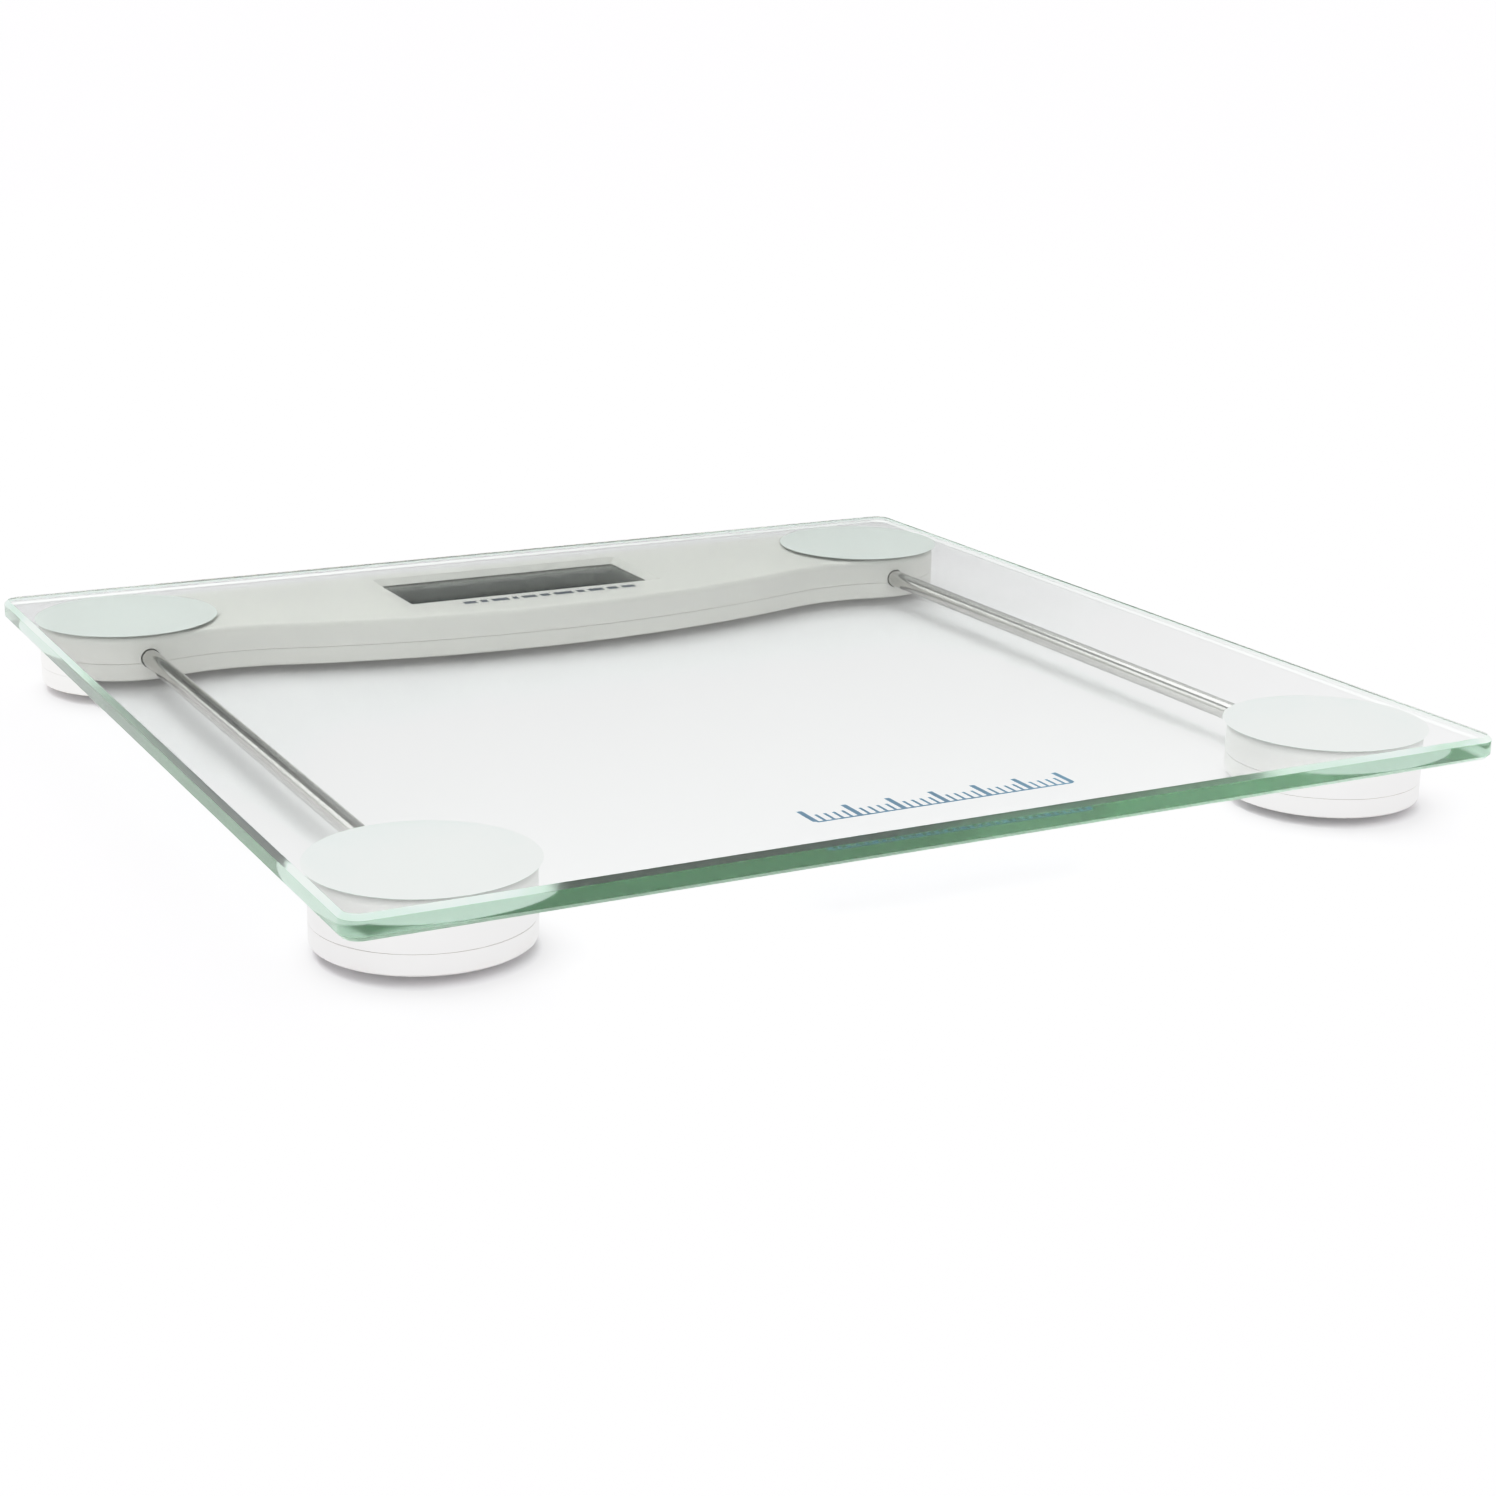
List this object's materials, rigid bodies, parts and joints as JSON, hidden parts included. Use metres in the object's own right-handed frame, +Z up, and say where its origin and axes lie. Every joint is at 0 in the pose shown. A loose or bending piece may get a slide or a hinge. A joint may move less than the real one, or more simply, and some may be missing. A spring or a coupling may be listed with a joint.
{
  "type": "digital glass platform scale",
  "caption": "Square clear glass platform scale on round load-cell feet, with a display bar along the back and slim steel cable tubes to the front feet.",
  "frame": {"origin": "on the floor under the middle of the glass platform", "axes": "+Z up, +Y towards the display side, +X to the right of a person reading the display"},
  "size_m": [0.3064, 0.3064, 0.0218],
  "materials": {
    "clear_glass": "clear, polished green edges",
    "frosted_print": "frosted, pale green",
    "bond_foam": "matt",
    "housing_plastic": "satin, fine moulded grain",
    "foot_plastic": "satin",
    "foot_steel": "turned, zinc plated",
    "foot_rubber": "matt",
    "tube_steel": "drawn, polished",
    "cell_steel": "stamped",
    "gauge_film": "film",
    "cable_jacket": "matt",
    "board_laminate": "solder mask",
    "display_glass": "dark grey liquid crystal, off",
    "lens_acrylic": "clear",
    "connector_rubber": "matt",
    "chip_resin": "satin",
    "coin_steel": "brushed",
    "contact_steel": "bright",
    "button_plastic": "satin",
    "screw_steel": "zinc"
  },
  "bodies": {
    "platform": {"glass_platform": "clear_glass", "frosted_disc_front_left": "frosted_print", "bonding_pad_front_left": "bond_foam", "load_cell_front_left": "cell_steel", "strain_gauge_front_left": "gauge_film", "frosted_disc_front_right": "frosted_print", "bonding_pad_front_right": "bond_foam", "load_cell_front_right": "cell_steel", "strain_gauge_front_right": "gauge_film", "frosted_disc_back_left": "frosted_print", "bonding_pad_back_left": "bond_foam", "load_cell_back_left": "cell_steel", "strain_gauge_back_left": "gauge_film", "frosted_disc_back_right": "frosted_print", "bonding_pad_back_right": "bond_foam", "load_cell_back_right": "cell_steel", "strain_gauge_back_right": "gauge_film", "foot_upper_shell_left": "foot_plastic", "foot_lower_shell_left": "foot_plastic", "foot_screw_left_1": "screw_steel", "foot_screw_left_2": "screw_steel", "cable_tube_left": "tube_steel", "front_cable_left": "cable_jacket", "back_cable_left": "cable_jacket", "foot_upper_shell_right": "foot_plastic", "foot_lower_shell_right": "foot_plastic", "foot_screw_right_1": "screw_steel", "foot_screw_right_2": "screw_steel", "cable_tube_right": "tube_steel", "front_cable_right": "cable_jacket", "back_cable_right": "cable_jacket", "housing_upper_cover": "housing_plastic", "housing_lower_cover": "housing_plastic", "housing_screw_1": "screw_steel", "housing_screw_2": "screw_steel", "housing_screw_3": "screw_steel", "housing_screw_4": "screw_steel", "housing_screw_5": "screw_steel", "housing_screw_6": "screw_steel", "unit_switch": "chip_resin", "display_lens": "lens_acrylic", "lcd_panel": "display_glass", "elastomer_connector": "connector_rubber", "circuit_board": "board_laminate", "controller_chip": "chip_resin", "battery_cell": "coin_steel", "battery_contact_positive": "contact_steel", "battery_contact_negative": "contact_steel"},
    "front_left_foot": {"foot_cap_front_left": "foot_steel", "rubber_pad_front_left": "foot_rubber"},
    "front_right_foot": {"foot_cap_front_right": "foot_steel", "rubber_pad_front_right": "foot_rubber"},
    "back_left_foot": {"foot_cap_back_left": "foot_steel", "rubber_pad_back_left": "foot_rubber"},
    "back_right_foot": {"foot_cap_back_right": "foot_steel", "rubber_pad_back_right": "foot_rubber"},
    "battery_lid": {"battery_door": "housing_plastic"},
    "unit_key": {"unit_button": "button_plastic", "switch_plunger": "button_plastic"}
  },
  "joints": [
    {"name": "foot_press_front_left", "type": "slide", "parent": "platform", "child": "front_left_foot", "axis": [0, 0, 1], "range_m": [0, 0.0008], "stiffness_N_per_m": 100000},
    {"name": "foot_press_front_right", "type": "slide", "parent": "platform", "child": "front_right_foot", "axis": [0, 0, 1], "range_m": [0, 0.0008], "stiffness_N_per_m": 100000},
    {"name": "foot_press_back_left", "type": "slide", "parent": "platform", "child": "back_left_foot", "axis": [0, 0, 1], "range_m": [0, 0.0008], "stiffness_N_per_m": 100000},
    {"name": "foot_press_back_right", "type": "slide", "parent": "platform", "child": "back_right_foot", "axis": [0, 0, 1], "range_m": [0, 0.0008], "stiffness_N_per_m": 100000},
    {"name": "battery_door_hinge", "type": "hinge", "parent": "platform", "child": "battery_lid", "pos_m": [-0.075, 0.13075, 0.00305], "axis": [1, 0, 0], "range_deg": [0, 90]},
    {"name": "unit_button_press", "type": "slide", "parent": "platform", "child": "unit_key", "axis": [0, 0, 1], "range_m": [0, 0.0005], "stiffness_N_per_m": 3200}
  ]
}
